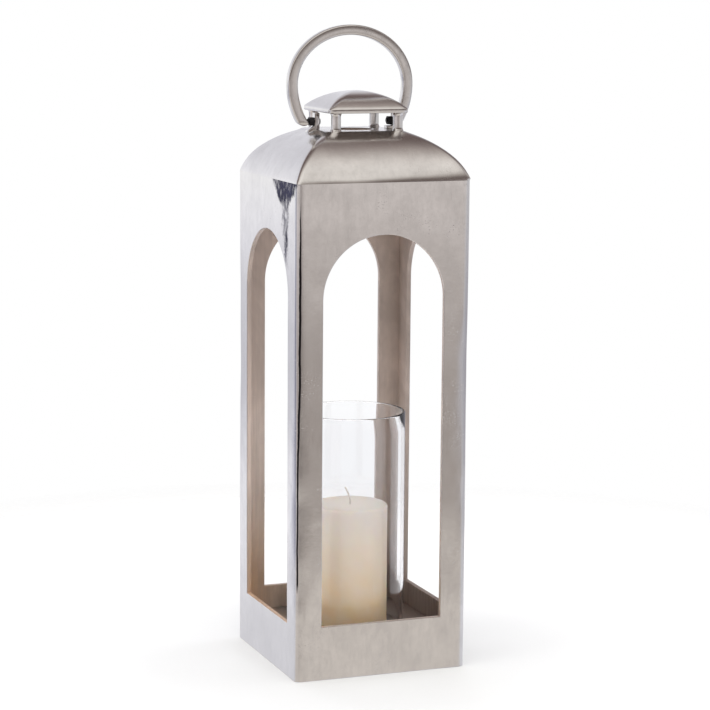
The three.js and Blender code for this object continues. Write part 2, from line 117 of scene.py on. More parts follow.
class LanternFinishes(bpy.types.PropertyGroup):
    """Colours of the finishes."""
    polish: colour("Polished metal", (0.86, 0.845, 0.83, 1), "Polished aluminium")
    casting: colour("Cast metal", (0.66, 0.575, 0.52, 1), "Unpolished casting inside")
    steel: colour("Pivots", (0.025, 0.024, 0.026, 1), "Blackened steel of the pivots")
    zinc: colour("Screws", (0.55, 0.55, 0.53, 1), "Zinc on the hidden screws")
    glass: colour("Glass", (0.968, 0.972, 0.986, 1), "Tint of the glass")
    wax: colour("Wax", (0.735, 0.675, 0.61, 1), "Wax near the top of the candle")
    wax_foot: colour("Wax foot", (0.84, 0.62, 0.33, 1), "Wax near the foot of the candle")
    cotton: colour("Wick", (0.60, 0.55, 0.49, 1), "Waxed cotton of the wick")


class LanternStage(bpy.types.PropertyGroup):
    """The camera, the floor and the light."""
    lens: bpy.props.FloatProperty(name="Lens", default=123.55, description="Focal length of the camera",
                                  unit="CAMERA")
    floor_radius: length("Floor radius", 0.85, "Radius at which the pale floor has faded away")
    key_power: amount("Key light", 16.0, "Power of the overhead soft light in watts")
    fill_power: amount("Side lights", 9.0, "Power of each side light in watts")
    surround: amount("Surround", 1.0, "Strength of the studio's walls")


# ---------------------------------------------------------------- materials

class Wire:
    """A node's output. Arithmetic on it adds Math nodes."""

    def __init__(self, graph, socket):
        self.graph = graph
        self.socket = socket

    def math(self, operation, *values):
        sockets = dict(enumerate(values))
        return self.graph.add("ShaderNodeMath", {"operation": operation}, sockets)

    def __add__(self, other):
        return self.math("ADD", self, other)

    __radd__ = __add__

    def __sub__(self, other):
        return self.math("SUBTRACT", self, other)

    def __rsub__(self, other):
        return self.math("SUBTRACT", other, self)

    def __mul__(self, other):
        return self.math("MULTIPLY", self, other)

    __rmul__ = __mul__

    def __truediv__(self, other):
        return self.math("DIVIDE", self, other)

    def between(self, low, high):
        """0 below low, 1 above high and an even ramp between them."""
        ramp = self.graph.add("ShaderNodeMath", {"operation": "DIVIDE", "use_clamp": True},
                              {0: self - low, 1: high - low})
        return ramp


class Graph:
    """The node tree of one material or of the world."""

    def __init__(self, tree):
        self.tree = tree
        tree.nodes.clear()

    def add(self, kind, settings=None, sockets=None, out=0):
        """Adds a node: its settings first, then the values or links of its sockets."""
        node = self.tree.nodes.new(kind)
        for name, value in (settings or {}).items():
            if name == "stops":
                self.set_stops(node.color_ramp, value)
            else:
                setattr(node, name, value)
        for key, value in (sockets or {}).items():
            if isinstance(value, Wire):
                self.tree.links.new(value.socket, node.inputs[key])
            else:
                node.inputs[key].default_value = value
        return Wire(self, node.outputs[out]) if len(node.outputs) else node

    @staticmethod
    def set_stops(ramp, stops):
        while len(ramp.elements) < len(stops):
            ramp.elements.new(1.0)
        for element, (place, tone) in zip(ramp.elements, stops):
            element.position = place
            element.color = (*tone, 1.0)

    def axes(self, names, source="Object"):
        """One wire for each named axis of the coordinates."""
        here = self.add("ShaderNodeTexCoord", out=source)
        return [self.add("ShaderNodeSeparateXYZ", {}, {0: here}, out=axis) for axis in names]

    def place(self, scale=(1, 1, 1), turn=(0, 0, 0)):
        """Object coordinates in metres, stretched along the axes."""
        here = self.add("ShaderNodeTexCoord", out="Object")
        return self.add("ShaderNodeMapping", {}, {"Vector": here, "Scale": scale, "Rotation": turn})

    def noise(self, where, scale, detail=2.0, roughness=0.5, twist=0.0):
        return self.add("ShaderNodeTexNoise", {}, {
            "Vector": where, "Scale": scale, "Detail": detail, "Roughness": roughness, "Distortion": twist})

    def blend(self, share, low, high):
        """A colour that goes from low to high as share goes from 0 to 1."""
        return self.add("ShaderNodeMix", {"data_type": "RGBA"}, {0: share, 6: low, 7: high}, out=2)

    def ramp(self, stops, share):
        """A colour read off a row of stops."""
        return self.add("ShaderNodeValToRGB", {"stops": stops}, {0: share})

    def bump(self, height, distance, strength=1.0):
        return self.add("ShaderNodeBump", {}, {"Height": height, "Distance": distance, "Strength": strength})

    def surface(self, painted_reflection_layer=None, **sockets):
        """The finished surface. A painted reflection layer is a dull layer of painted dark reflection on top:
        how much it covers, and its colour.
        """
        named = {key.replace("_", " "): value for key, value in sockets.items()}
        shader = self.add("ShaderNodeBsdfPrincipled", {}, named)
        if painted_reflection_layer:
            dull = {"Base Color": painted_reflection_layer[1], "Roughness": 0.55, "Specular IOR Level": 0.12}
            cover = self.add("ShaderNodeBsdfPrincipled", {}, dull)
            shader = self.add("ShaderNodeMixShader", {}, {0: painted_reflection_layer[0], 1: shader, 2: cover})
        self.add("ShaderNodeOutputMaterial", {}, {"Surface": shader})


def new_material(name):
    material = bpy.data.materials.new(name)
    material.use_nodes = True
    return material, Graph(material.node_tree)


def shade(tone, factor):
    """A colour made darker or lighter."""
    return (*(min(1.0, part * factor) for part in tone[:3]), 1.0)


def painted_corner_reflection(graph):
    """How strongly the painted dark reflection covers the left panel, under the roof beside the front corner.
    """
    x, y, z = (axis / MM for axis in graph.axes("XYZ"))
    ragged = graph.noise(graph.place((100.0, 100.0, 80.0)), 1.0, 4.0, 0.65) - 0.5
    veins = graph.noise(graph.place((230.0, 230.0, 120.0)), 1.0, 3.0, 0.6) - 0.5
    # From here on in millimetres: the patch widens upwards, and flares out below the crease.
    widening = z.between(405.0, 470.0)
    flare = z.between(464.0, 488.0)
    past_near_edge = widening * 16.0 + flare * 24.0 + ragged * 22.0 - y - 56.0
    width = widening * 21.0 + flare * 50.0 + 4.0
    across = past_near_edge.between(0.0, 5.0) * (1.0 - (past_near_edge - width).between(-4.0, 2.0))
    above_foot = z.between(402.0, 414.0)
    on_outside = (0 - x).between(85.5, 87.0)
    inside = across * above_foot * on_outside
    darker_ends = z.between(458.0, 472.0) * 0.55 + (1.0 - z.between(425.0, 450.0)) * 0.60
    return inside * (darker_ends + veins * 2.2 + 0.45).between(0.0, 1.0)


def painted_reflection_line(graph):
    """Where the painted dark reflection runs as a thin line down the rounded corner between the front and the
    left panel.
    """
    x, y, z = (axis / MM for axis in graph.axes("XYZ"))
    around = x.math("ARCTAN2", 0 - x - INSIDE / MM, 0 - y - INSIDE / MM)
    wander = graph.noise(graph.place((0.0, 0.0, 26.0)), 1.0, 2.0, 0.5) - 0.5
    ragged = graph.noise(graph.place((0.0, 0.0, 160.0)), 1.0, 2.0, 0.5) - 0.5
    # Angles round the corner are in radians, heights in millimetres.
    middle = wander * 0.5 + ragged * 0.12 + 0.78 - z.between(205.0, 300.0) * 0.46
    half_width = 0.24 - z.between(400.0, 470.0) * 0.17 + ragged * 0.10
    aside = (around - middle).math("ABSOLUTE", around - middle)
    inside = (half_width - aside).between(-0.05, 0.05)
    above_foot = z.between(88.0, 98.0)
    below_crease = 1.0 - z.between(455.0, 472.0)
    return inside * above_foot * below_crease


def polished_metal(name, tone, grain_scale, gloss=0.13, patched=False):
    """Polished cast aluminium: fine sanding lines, faint clouding and a few casting pits; patched, it also
    gets painted dark reflections on the panels.
    """
    material, graph = new_material(name)
    lines = graph.noise(graph.place(grain_scale), 1.0, 3.0, 0.62)
    clouds = graph.noise(graph.place(), 30.0, 4.0, 0.6)
    grain = graph.noise(graph.place(), 1100.0, 2.0, 0.6)
    pits = graph.noise(graph.place(), 820.0, 2.0, 0.5).between(0.62, 0.72)
    sparse = graph.noise(graph.place(), 38.0, 2.0).between(0.55, 0.7)
    spots = pits * sparse
    height = lines * 0.010 + grain * 0.006 + clouds * 0.10 - spots * 0.02
    rubbed = graph.noise(graph.place((1, 1, 0.4)), 150.0, 5.0, 0.7).between(0.42, 0.66)
    skin = graph.blend(clouds.between(0.35, 0.75) * 0.5 + spots * 0.5, tone, shade(tone, 0.86))
    skin = graph.blend(rubbed * 0.3, skin, shade(tone, 0.84))
    painted_reflection_layer = None
    # The panels get painted reflection: a dark patch on the left panel and a thin dark line down the
    # front-left corner, laid on as a dull layer.
    if patched:
        patch = painted_corner_reflection(graph)
        line = painted_reflection_line(graph)
        height = height - patch * 0.10
        painted_reflection_tone = graph.blend(clouds, (0.040, 0.042, 0.095, 1), (0.004, 0.002, 0.006, 1))
        line_tone = (0.004, 0.003, 0.004, 1)
        painted_reflection_layer = (patch.math("MAXIMUM", patch, line), graph.blend(line, painted_reflection_tone, line_tone))
    graph.surface(
        painted_reflection_layer,
        Base_Color=skin,
        Metallic=1.0,
        Roughness=lines * 0.08 + clouds * 0.10 + rubbed * 0.04 + spots * 0.3 + (gloss - 0.10),
        Normal=graph.bump(height, MM),
    )
    return material


def cast_metal(name, tone):
    """The unpolished inside of the casting: sandy, streaked and stained, with painted shade low on the right
    wall and painted light on the left wall.
    """
    material, graph = new_material(name)
    sand = graph.noise(graph.place(), 620.0, 4.0, 0.6)
    lumps = graph.noise(graph.place(), 95.0, 3.0, 0.55)
    streaks = graph.noise(graph.place((240.0, 240.0, 12.0)), 1.0, 3.0, 0.6)
    stains = graph.noise(graph.place((1, 1, 0.6)), 14.0, 4.0, 0.65, 0.6).between(0.38, 0.68)
    x, z = graph.axes("XZ")
    right = x.between(0.050, 0.084)
    left = (0 - x).between(0.050, 0.084)
    # Painted shade: the right inner wall is darkened near its foot, mottled by the stains.
    painted_shade_low_right = right * (1.0 - z.between(0.050, 0.100)) * (0.6 + stains * 0.4)
    # Painted light: a lighter band up the left inner wall, and warm light painted near its foot.
    painted_light_left = left * z.between(0.050, 0.180) * (1.0 - z.between(0.230, 0.400))
    painted_warm_light_low_left = left * (1.0 - z.between(0.060, 0.140))
    dull = graph.blend(stains, shade(tone, 0.70), shade(tone, 1.2))
    # The painted shade's dark colour, then the painted light's lighter and warm colours.
    dull = graph.blend(painted_shade_low_right, dull, (0.20, 0.145, 0.125, 1))
    dull = graph.blend(painted_light_left * 0.8, dull, shade(tone, 1.5))
    dull = graph.blend(painted_warm_light_low_left * 0.8, dull, (0.86, 0.62, 0.43, 1))
    graph.surface(
        Base_Color=graph.blend(streaks.between(0.4, 0.7) * 0.5, dull, shade(tone, 0.74)),
        Metallic=0.6,
        Roughness=0.40 + sand * 0.16 + stains * 0.06,
        Normal=graph.bump(sand * 0.5 + lumps + streaks * 0.35, 0.16 * MM, 0.9),
    )
    return material


def steel_finish(name, tone, metallic, gloss):
    """Small steel parts: turning marks and rubbed edges."""
    material, graph = new_material(name)
    marks = graph.noise(graph.place((2600.0, 500.0, 500.0)), 1.0, 2.0)
    wear = graph.noise(graph.place(), 900.0, 3.0, 0.6).between(0.55, 0.75)
    graph.surface(
        Base_Color=graph.blend(wear * 0.5, tone, shade(tone, 2.4)),
        Metallic=metallic,
        Roughness=gloss + marks * 0.15,
        Normal=graph.bump(marks + wear * 0.5, 0.03 * MM, 0.6),
    )
    return material


def clear_glass(tone):
    material, graph = new_material("clear_hurricane_glass")
    ripple = graph.noise(graph.place((1, 1, 0.35)), 34.0, 1.0, 0.4)
    graph.surface(
        Base_Color=tone,
        Roughness=0.0,
        IOR=1.45,
        Transmission_Weight=1.0,
        Normal=graph.bump(ripple, 0.05 * MM, 0.3),
    )
    return material


def ivory_wax(tone, foot_tone):
    """Wax that warms towards the foot, with a painted shade band near the foot, a frosted bloom and faint
    pouring marks.
    """
    material, graph = new_material("ivory_wax_surface")
    height = graph.axes("Z")[0]
    low = 1.0 - height.between(CANDLE_LOW.z, CANDLE_HIGH.z)
    mottle = graph.noise(graph.place(), 60.0, 4.0, 0.6)
    bloom = graph.noise(graph.place((1, 1, 2.5)), 260.0, 3.0, 0.6)
    marks = graph.noise(graph.place((18.0, 18.0, 520.0)), 1.0, 2.0)
    # Painted shade: a darker, warmer band over the lowest part of the candle, below a wavy line.
    painted_shade_band = 1.0 - (height + (mottle - 0.5) * 0.006).between(0.053, 0.057)
    body = graph.blend(low, tone, foot_tone)
    body = graph.blend(painted_shade_band * 0.5, body, shade(foot_tone, 0.82))
    graph.surface(
        Base_Color=graph.blend(mottle.between(0.35, 0.7) * 0.35, body, shade(tone, 1.06)),
        Roughness=0.42 + bloom * 0.16,
        IOR=1.44,
        Subsurface_Weight=0.35,
        Subsurface_Radius=(0.016, 0.009, 0.004),
        Subsurface_Scale=0.6,
        Normal=graph.bump(bloom * 0.4 + marks * 0.5 + mottle, 0.08 * MM, 0.7),
    )
    return material


def waxed_cotton(tone):
    material, graph = new_material("waxed_cotton_wick")
    threads = graph.noise(graph.place((900.0, 900.0, 2600.0), (0.0, 0.7, 0.0)), 1.0, 2.0)
    graph.surface(
        Base_Color=graph.blend(threads, shade(tone, 0.55), shade(tone, 1.5)),
        Roughness=0.72,
        Normal=graph.bump(threads, 0.12 * MM, 0.9),
    )
    return material


def pale_floor(radius):
    """A pale floor that fades away towards its edge."""
    material, graph = new_material("pale_studio_floor")
    here = graph.add("ShaderNodeTexCoord", out="Object")
    reach = graph.add("ShaderNodeVectorMath", {"operation": "LENGTH"}, {0: here}, out="Value")
    speckle = graph.noise(graph.place(), 300.0, 2.0)
    near = graph.blend(speckle, (0.69, 0.73, 0.75, 1), (0.71, 0.75, 0.77, 1))
    far = (0.84, 0.87, 0.88, 1)
    graph.surface(
        Base_Color=graph.blend(reach.between(0.2, radius * 0.7), near, far),
        Roughness=0.75,
        Alpha=1.0 - reach.between(radius * 0.55, radius),
    )
    return material


def finish(name):
    """The material of that name, made the first time it is asked for."""
    if name in bpy.data.materials:
        return bpy.data.materials[name]
    tones = bpy.context.scene.lantern_finishes
    makers = {
        "polished_panels": lambda: polished_metal(name, tones.polish, (700.0, 700.0, 60.0), patched=True),
        "polished_roof": lambda: polished_metal(name, tones.polish, (150.0, 150.0, 700.0), 0.19),
        "satin_handle": lambda: polished_metal(name, shade(tones.polish, 0.97), (200.0, 1200.0, 200.0), 0.20),
        "bright_posts": lambda: polished_metal(name, tones.polish, (200.0, 200.0, 2400.0), 0.15),
        "cast_inside": lambda: cast_metal(name, tones.casting),
        # A darker copy of the casting: painted shade for the floor plate inside, the cleats and the cap's
        # underside.
        "painted_shade_cast_floor": lambda: cast_metal(name, shade(tones.casting, 0.42)),
        "blackened_steel": lambda: steel_finish(name, tones.steel, 0.7, 0.38),
        "zinc_plate": lambda: steel_finish(name, tones.zinc, 1.0, 0.3),
    }
    return makers[name]()


# ---------------------------------------------------------------- shaping

def add_piece(bm, name, body, materials, stands_for, crease=32.0):
    """Turns a finished bmesh into a piece that rides on a body and stands for its CAD nodes."""
    mesh = bpy.data.meshes.new(name)
    bm.to_mesh(mesh)
    bm.free()
    mesh.shade_smooth()
    mesh.set_sharp_from_angle(angle=radians(crease))
    piece = bpy.data.objects.new(name, mesh)
    bpy.context.scene.collection.objects.link(piece)
    for material in materials:
        mesh.materials.append(material)
    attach(piece, body)
    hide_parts(*stands_for)


def close_up(bm):
    """Merges doubles and turns every face outwards."""
    bmesh.ops.remove_doubles(bm, verts=bm.verts, dist=WELD)
    bmesh.ops.dissolve_degenerate(bm, dist=WELD, edges=bm.edges)
    bmesh.ops.recalc_face_normals(bm, faces=bm.faces)


def add_outline(bm, points, closed=True):
    """A wire through the points; returns its edges."""
    verts = [bm.verts.new(point) for point in points]
    pairs = zip(verts, verts[1:] + verts[:1]) if closed else zip(verts, verts[1:])
    return [bm.edges.new(pair) for pair in pairs]


def spread(low, high, steps):
    """Evenly spaced numbers from low up to, and without, high."""
    return [low + (high - low) * k / steps for k in range(steps)]


def round_edges(bm, edges, width, segments=2):
    bmesh.ops.bevel(bm, geom=list(edges), offset=width, offset_type="OFFSET", segments=segments,
                    profile=0.5, affect="EDGES", material=-1, clamp_overlap=True)


def thicken(bm, faces, shift):
    """Gives a skin its thickness: a copy of its faces moved by the shift, and walls round the edges."""
    grown = bmesh.ops.extrude_face_region(bm, geom=faces, use_keep_orig=True)["geom"]
    far = [part for part in grown if isinstance(part, bmesh.types.BMVert)]
    bmesh.ops.translate(bm, verts=far, vec=shift)


def slice_faces(bm, faces, place, direction, clear=False):
    """Cuts the faces with a plane; clearing takes away what lies beyond it."""
    edges = list({edge for face in faces for edge in face.edges})
    verts = list({vert for face in faces for vert in face.verts})
    bmesh.ops.bisect_plane(bm, geom=verts + edges + faces, plane_co=place, plane_no=direction,
                           clear_outer=clear, dist=WELD)


def sharp_edges(bm, angle=50.0):
    return [edge for edge in bm.edges
            if len(edge.link_faces) == 2 and edge.calc_face_angle() > radians(angle)]


def turned(profile, steps):
    """A bmesh turned about Z from a profile of (radius, height)."""
    bm = bmesh.new()
    add_outline(bm, [(radius, 0, height) for radius, height in profile], closed=False)
    bmesh.ops.spin(bm, geom=bm.verts[:] + bm.edges[:], cent=(0, 0, 0), axis=(0, 0, 1), dvec=(0, 0, 0),
                   angle=tau, steps=steps, use_merge=True, use_duplicate=False)
    close_up(bm)
    return bm


def round_corner(centre, radius, start, end, steps=4):
    """Points of an arc in a profile, in degrees."""
    angles = [radians(start + (end - start) * k / steps) for k in range(steps + 1)]
    return [(centre[0] + radius * cos(a), centre[1] + radius * sin(a)) for a in angles]


def square_ring(side_steps, corner_steps):
    """A rounded square as pairs: a point of the core square, from -1 to 1, and a direction out of it."""
    ring = []
    for quarter in range(4):
        turn = Matrix.Rotation(quarter * pi / 2, 2)
        for t in spread(-1.0, 1.0, side_steps):
            ring.append((turn @ Vector((t, -1.0)), turn @ Vector((0.0, -1.0))))
        for t in spread(0.0, pi / 2, corner_steps):
            ring.append((turn @ Vector((1.0, -1.0)), turn @ Vector((sin(t), -cos(t)))))
    return ring


def square_sweep(stations, side_steps=14, corner_steps=5, middle_x=0.0):
    """A skin through rounded squares of (half width, height, corner radius)."""
    bm = bmesh.new()
    core = bm.verts.layers.float_vector.new("core")
    lean = bm.verts.layers.float_vector.new("lean")
    ring = square_ring(side_steps, corner_steps)
    edges = add_outline(bm, [(0, 0, 0)] * len(ring))
    bm.verts.ensure_lookup_table()
    for vert, (middle, outward) in zip(bm.verts, ring):
        vert[core] = (*middle, 0)
        vert[lean] = (*outward, 0)
    verts = bm.verts[:]
    for number, (half, height, radius) in enumerate(stations):
        if number:
            grown = bmesh.ops.extrude_edge_only(bm, edges=edges)["geom"]
            verts = [part for part in grown if isinstance(part, bmesh.types.BMVert)]
            fresh = set(verts)
            edges = [part for part in grown
                     if isinstance(part, bmesh.types.BMEdge) and fresh.issuperset(part.verts)]
        for vert in verts:
            flat = vert[core] * (half - radius) + vert[lean] * radius
            vert.co = (middle_x + flat.x, flat.y, height)
    close_up(bm)
    return bm


def roof_ellipse():
    """Half height, half width and centre height of the ellipse that the roof's outside follows."""
    sizes = bpy.context.scene.lantern_sizes
    tall = sizes.roof_drop + (ROOF_TOP - CREASE) + sizes.roof_cut
    wide = HALF / sqrt(1 - (sizes.roof_drop / tall) ** 2)
    return tall, wide, CREASE - sizes.roof_drop


def roof_curve(skin, steps):
    """(half width, height) up the roof's curve, from the crease to the flat; a skin moves it outwards."""
    tall, wide, base = roof_ellipse()
    start = asin(bpy.context.scene.lantern_sizes.roof_drop / (tall + skin))
    end = asin((ROOF_TOP + skin - base) / (tall + skin))
    angles = [start + (end - start) * k / steps for k in range(steps + 1)]
    return [((wide + skin) * cos(a), base + (tall + skin) * sin(a)) for a in angles]


def roof_height(x, y):
    """Height of the roof's outside over a point."""
    tall, wide, base = roof_ellipse()
    out = max(abs(x), abs(y)) / wide
    return min(ROOF_TOP, base + tall * sqrt(max(0.0, 1 - out ** 2)))


# ---------------------------------------------------------------- the tower's panels

def window_outline(sizes, steps):
    """The arched window, from the left end of its sill round to it again, as (x, z)."""
    sill_steps, side_steps, arch_steps = steps
    half = sizes.window_width / 2
    spring = sizes.window_crown - half
    sill = [(x, sizes.window_sill) for x in spread(-half, half, sill_steps)]
    right = [(half, z) for z in spread(sizes.window_sill, spring, side_steps)]
    arch = [(half * cos(a), spring + half * sin(a)) for a in spread(0, pi, arch_steps)]
    left = [(-half, z) for z in spread(spring, sizes.window_sill, side_steps)]
    return sill + right + arch + left


def panel_outline(sizes, steps):
    """The panel's flat part, with a point for each point of the window's outline."""
    sill_steps, side_steps, arch_steps = steps
    top = PANEL_HIGH.z + 0.8 * SEAM
    shoulder = sizes.window_crown - sizes.window_width / 2 + 0.01
    quarter = arch_steps // 4
    sill = [(x, 0.0) for x in spread(-INSIDE, INSIDE, sill_steps)]
    right = [(INSIDE, z) for z in spread(0.0, shoulder, side_steps)]
    right += [(INSIDE, z) for z in spread(shoulder, top, quarter)]
    crown = [(x, top) for x in spread(INSIDE, -INSIDE, arch_steps - 2 * quarter)]
    left = [(-INSIDE, z) for z in spread(top, shoulder, quarter)]
    left += [(-INSIDE, z) for z in spread(shoulder, 0.0, side_steps)]
    return sill + right + crown + left


# Where each corner is ground away most: a height and how far that reaches up and down from it.
GROUND_CORNERS = {
    (-1, -1): (0.160, 0.130),
    (1, -1): (0.270, 0.085),
    (1, 1): (0.190, 0.120),
    (-1, 1): (0.310, 0.120),
}


def corner_shape(corner, z, sizes):
    """How deep and how wide a corner's easing is at a height; the same for both panels that meet there."""
    middle, reach = GROUND_CORNERS[corner]
    swell = exp(-((z - middle) / reach) ** 2)
    seed = Vector((corner[0] * 7.3, corner[1] * 3.9, z * 17.0))
    wide = sizes.corner_width * (0.5 + 0.8 * swell) * (1 + 0.4 * noise.noise(seed))
    steep = (0.45 + 0.55 * swell) * (1 + 0.5 * noise.noise(seed * 1.7 + Vector((5.0, 0.0, 0.0))))
    return sizes.corner_slope * steep * wide / 2, wide


def ease_panel(bm, turn, sizes):
    """Falls the outer skin away towards the corners and puts the slow polishing waves in it."""
    arc = WALL * pi / 4
    for vert in bm.verts:
        side = 1.0 if vert.co.x > 0 else -1.0
        past = abs(vert.co.x) - INSIDE
        depth = -vert.co.y - INSIDE
        corner = turn @ Vector((side, -1.0, 0.0))
        deep, wide = corner_shape((round(corner.x), round(corner.y)), vert.co.z, sizes)
        slope = 2 * deep / wide
        if past > WELD:
            share = hypot(past, depth) / WALL
            along = atan2(past, depth) * WALL
            inward = deep + slope * (along - along ** 2 / (2 * arc))
            outward = Vector((side * past, -depth, 0.0)).normalized()
        else:
            share = depth / WALL
            near = max(0.0, 1 + past / wide)
            place = turn @ vert.co
            wave = 0.5 + 0.5 * noise.noise(place * 13.0) + 0.25 * noise.noise(place * 31.0)
            inward = deep * near ** 2 + sizes.panel_wave * max(0.0, wave) * (1 - near) ** 2
            outward = Vector((0.0, -1.0, 0.0))
        vert.co -= outward * inward * max(0.0, share)


def build_panel(sizes, turn):
    """One cast panel with its arched window and the half of each rounded corner that belongs to it."""
    steps = (26, 72, 64)
    bm = bmesh.new()
    window = add_outline(bm, [(x, -HALF, z) for x, z in window_outline(sizes, steps)])
    border = add_outline(bm, [(x, -HALF, z) for x, z in panel_outline(sizes, steps)])
    bmesh.ops.bridge_loops(bm, edges=window + border)
    spokes = [edge for edge in bm.edges if edge not in set(window) | set(border)]
    bmesh.ops.subdivide_edges(bm, edges=spokes, cuts=9, use_grid_fill=True)
    thicken(bm, bm.faces[:], (0, WALL, 0))
    bmesh.ops.recalc_face_normals(bm, faces=bm.faces)
    rims = [edge for edge in sharp_edges(bm)
            if all(abs(vert.co.x) < INSIDE - WELD for vert in edge.verts)
            or all(vert.co.z < WELD for vert in edge.verts)]
    rims = [edge for edge in rims if min(vert.co.z for vert in edge.verts) < CREASE - WALL]
    round_edges(bm, rims, sizes.edge_round, 2)
    mitre_gap = 0.01 * MM
    sweep = pi / 4 - mitre_gap / WALL
    for side in (-1, 1):
        strip = [face for face in bm.faces
                 if all(abs(vert.co.x - side * INSIDE) < WELD for vert in face.verts)]
        bmesh.ops.spin(bm, geom=strip, cent=(side * INSIDE, -INSIDE, 0), axis=(0, 0, 1), dvec=(0, 0, 0),
                       angle=side * sweep, steps=6, use_merge=False, use_duplicate=False)
        left_over = [face for face in strip if face.is_valid]
        bmesh.ops.delete(bm, geom=left_over, context="FACES")
    close_up(bm)
    ease_panel(bm, turn, sizes)
    bm.normal_update()
    for face in bm.faces:
        on_corner = all(abs(vert.co.x) > INSIDE - WELD for vert in face.verts)
        face.material_index = int(face.normal.y > -0.3 and not on_corner)
    bmesh.ops.rotate(bm, verts=bm.verts, cent=(0, 0, 0), matrix=turn)
    bmesh.ops.recalc_face_normals(bm, faces=bm.faces)
    return bm


class LANTERN_OT_panels(bpy.types.Operator):
    """Build the four cast panels with their arched windows"""
    bl_idname = "lantern.panels"
    bl_label = "Panels"

    def execute(self, context):
        sizes = context.scene.lantern_sizes
        materials = [finish("polished_panels"), finish("cast_inside")]
        sides = {"front": 0, "right": 1, "back": 2, "left": 3}
        for side, quarter in sides.items():
            turn = Matrix.Rotation(quarter * pi / 2, 3, "Z")
            bm = build_panel(sizes, turn)
            add_piece(bm, f"{side}_panel", "tower", materials, [f"{side}_wall"],
                      crease=20.0)
        return {"FINISHED"}


# ---------------------------------------------------------------- roof, cap and posts

def swell_above_crease(vert, soft):
    """Steepens the front of the roof just above the crease, more and more towards the right."""
    rise = max(WELD, vert.co.z - CREASE)
    frontness = min(1.0, max(0.0, -vert.co.y / max(abs(vert.co.x), abs(vert.co.y)) * 3.3 - 2.3))
    share = (vert.co.x / HALF + 1) / 2
    local = soft * (1.3 + 7.0 * share ** 2 + 0.8 * noise.noise(Vector((vert.co.x * 30, 0, 0))))
    curve = (HALF + vert.co.y) * (1 - exp(-rise / local)) / (1 - exp(-rise / soft))
    vert.co.y += ((curve - HALF) - vert.co.y) * frontness


class LANTERN_OT_roof(bpy.types.Operator):
    """Build the domed roof with its smoke hole"""
    bl_idname = "lantern.roof"
    bl_label = "Roof"

    def execute(self, context):
        sizes = context.scene.lantern_sizes
        hip = sizes.hip_round
        lip = 0.8 * MM
        soft = 1.3 * MM
        outside = roof_curve(0.0, 34)
        outside = [(HALF - (HALF - half) * (1 - exp(-(z - CREASE) / soft)), z) for half, z in outside]
        inside = roof_curve(-WALL, 16)
        vent = sizes.vent_radius
        flat = outside[-1][0]
        stations = [(HALF - lip, CREASE, hip)]
        stations += [(half, height, hip) for half, height in outside]
        stations += [(flat - step, ROOF_TOP, max(hip, vent - flat + step + hip)) for step in (3 * MM, 8 * MM)]
        stations += [(vent + lip, ROOF_TOP, vent + lip), (vent, ROOF_TOP - lip, vent)]
        stations += [(vent, ROOF_TOP - WALL + lip, vent), (vent + lip, ROOF_TOP - WALL, vent + lip)]
        stations += [(half, height, 1.5 * MM) for half, height in reversed(inside)]
        stations += [(HALF - lip, CREASE, hip)]
        bm = square_sweep(stations, 30, 8)
        bm.normal_update()
        for vert in bm.verts:
            if vert.normal.z > 0.1 and vert.co.z < ROOF_TOP - MM:
                swell_above_crease(vert, soft)
                fade = min(1.0, (vert.co.z - CREASE) / (8 * MM))
                dent = 0.4 + 0.6 * noise.noise(vert.co * 13.0) + 0.2 * noise.noise(vert.co * 45.0)
                vert.co -= vert.normal * max(0.0, dent) * fade * 1.1 * MM
        for face in bm.faces:
            middle = face.calc_center_median()
            reach = max(abs(middle.x), abs(middle.y))
            face.material_index = int(face.normal.dot(Vector((middle.x, middle.y, 0.12))) < 0
                                      and reach < HALF - 0.5 * WALL)
        add_piece(bm, "domed_roof", "tower",
                  [finish("polished_roof"), finish("cast_inside")], ["roof_dome"])
        return {"FINISHED"}


